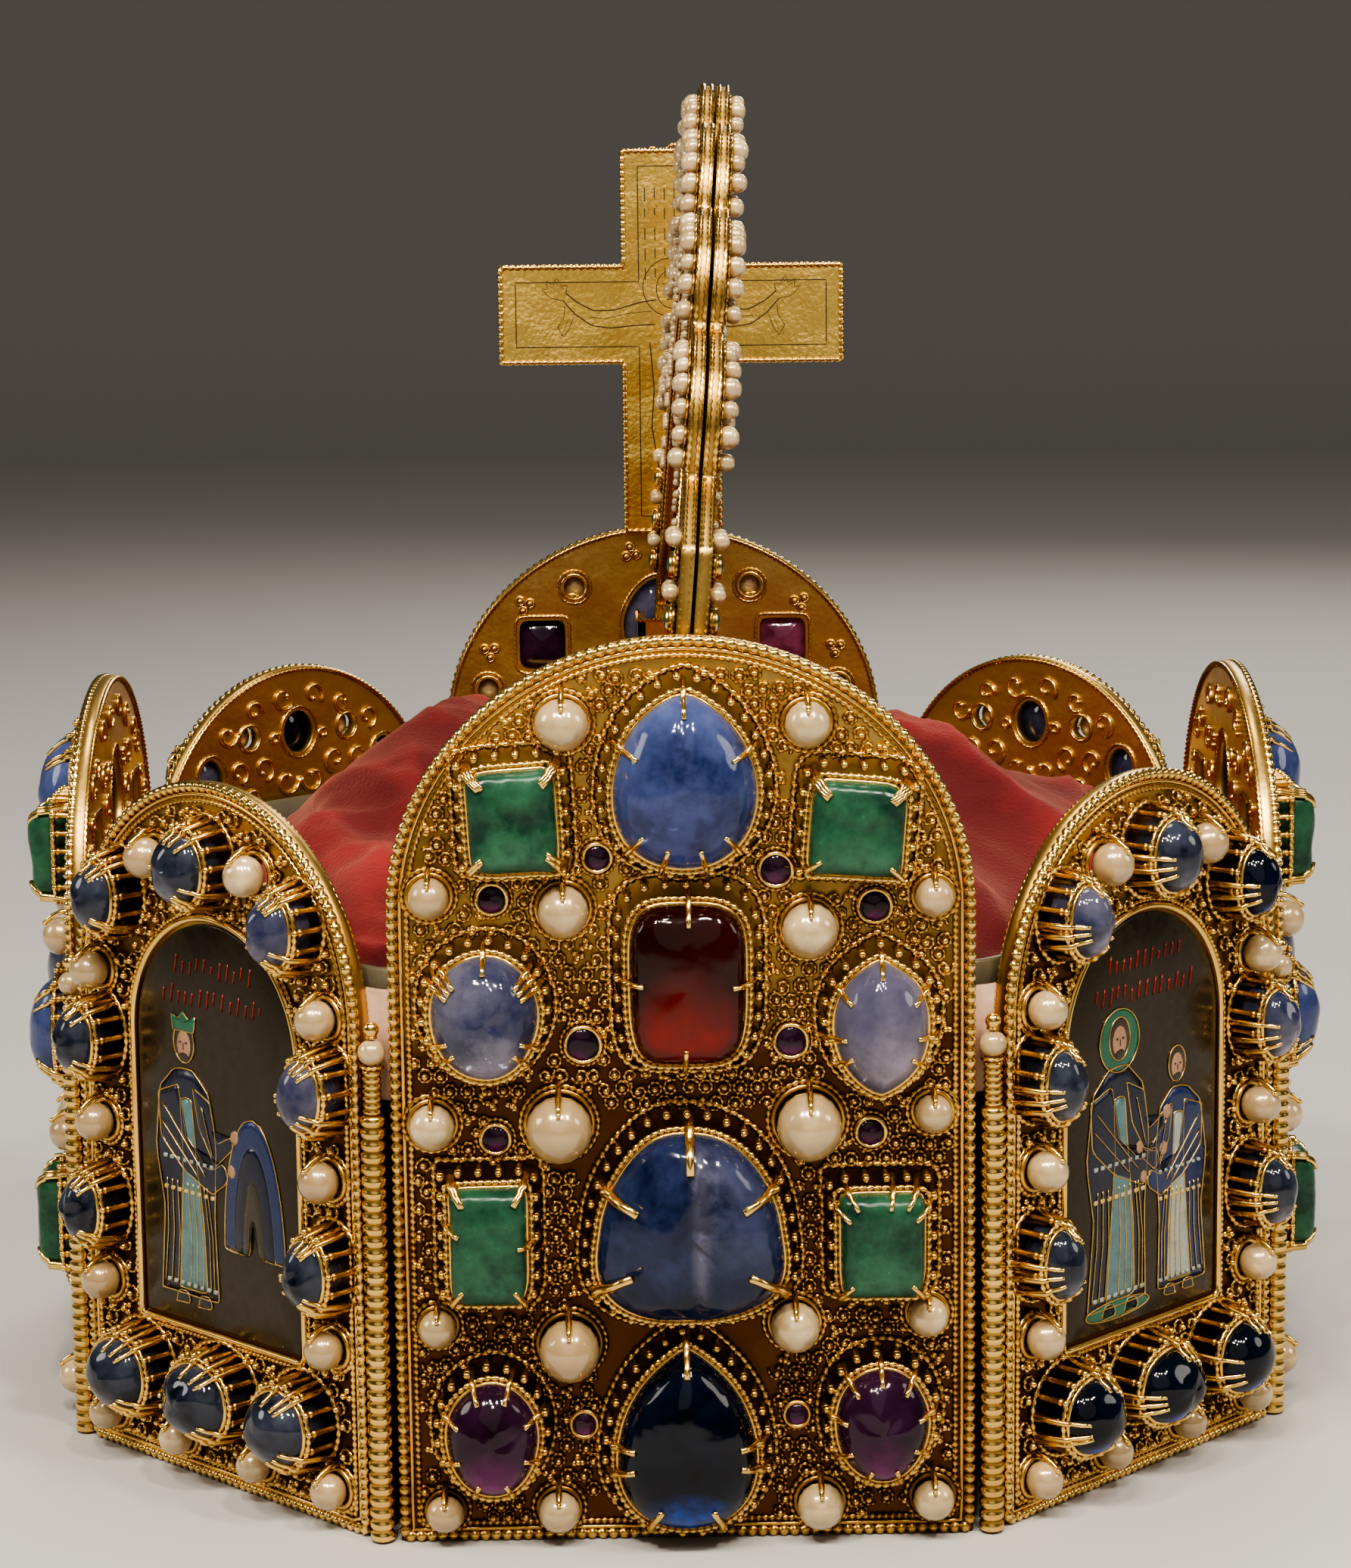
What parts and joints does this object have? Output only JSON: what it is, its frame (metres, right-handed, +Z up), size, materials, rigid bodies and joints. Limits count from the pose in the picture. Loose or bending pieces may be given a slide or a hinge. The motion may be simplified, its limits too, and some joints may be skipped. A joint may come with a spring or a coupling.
{
  "type": "imperial crown",
  "caption": "Octagonal crown of round-topped gold plates with gems and enamels, hinge pins, a standing cross, a scalloped front-to-back arch and a velvet cap",
  "frame": {"origin": "middle of the crown's outline, on the plane that the eight plates stand on", "axes": "+Z is up; +Y points to the forehead plate and the cross; the neck plate faces -Y; +X is to the right when looking at the neck plate from outside"},
  "size_m": [0.2362, 0.2372, 0.2372],
  "materials": {
    "gold": "high-carat gold sheet, beaded wire and granules, softly worn, dark orange-brown in the hollows; the fused pearls and small stones of this slot are pearl and glass in the looks",
    "sapphire": "polished uneven cabochon, clear mid blue",
    "dark_sapphire": "polished cabochon, almost black blue",
    "pale_sapphire": "polished cabochon, watery pale blue",
    "emerald": "slightly rough box-cut crystal, cloudy mid green",
    "garnet": "polished cushion, dark red brown with a glowing orange foot",
    "amethyst": "polished cabochon, very dark purple",
    "tourmaline": "polished, muted pink",
    "enamel": "glossy cloisonne enamel on a gold ground, dark blue, white, green and red",
    "iron": "flat strap iron, dark olive brown with a bright worn upper edge",
    "leather": "thin undyed leather, pale flesh brown, matt",
    "velvet": "old crimson velvet, faded and rubbed paler on its crumpled folds",
    "pearl": "natural pearls, cream to grey, soft lustre, held by gold pins"
  },
  "bodies": {
    "root": {"neck_plate": "gold", "forehead_plate": "gold", "left_temple_plate": "gold", "right_temple_plate": "gold", "picture_plate_near_right": "gold", "enamel_near_right": "enamel", "picture_plate_far_right": "gold", "enamel_far_right": "enamel", "picture_plate_far_left": "gold", "enamel_far_left": "enamel", "picture_plate_near_left": "gold", "enamel_near_left": "enamel", "hinge_pin_1": "gold", "hinge_pin_2": "gold", "hinge_pin_3": "gold", "hinge_pin_4": "gold", "hinge_pin_5": "gold", "hinge_pin_6": "gold", "hinge_pin_7": "gold", "hinge_pin_8": "gold", "iron_band": "iron", "leather_strip": "leather", "velvet_cap": "velvet", "arch_left_strip": "gold", "arch_right_strip": "gold", "cross": "gold", "neck_egg_sapphire": "sapphire", "neck_upper_left_emerald": "emerald", "neck_upper_right_emerald": "emerald", "neck_left_pale_sapphire": "pale_sapphire", "neck_garnet": "garnet", "neck_right_moonstone": "pale_sapphire", "neck_lower_left_emerald": "emerald", "neck_split_sapphire": "sapphire", "neck_lower_right_emerald": "emerald", "neck_left_amethyst": "amethyst", "neck_drop_sapphire": "dark_sapphire", "neck_right_amethyst": "amethyst", "forehead_egg_sapphire": "pale_sapphire", "forehead_upper_left_tourmaline": "tourmaline", "forehead_upper_right_amethyst": "amethyst", "forehead_left_emerald": "emerald", "forehead_heart_sapphire": "sapphire", "forehead_right_emerald": "emerald", "forehead_left_sapphire": "sapphire", "forehead_square_emerald": "emerald", "forehead_right_sapphire": "sapphire", "forehead_left_amethyst": "amethyst", "forehead_oval_sapphire": "dark_sapphire", "forehead_right_amethyst": "amethyst"}
  },
  "joints": []
}
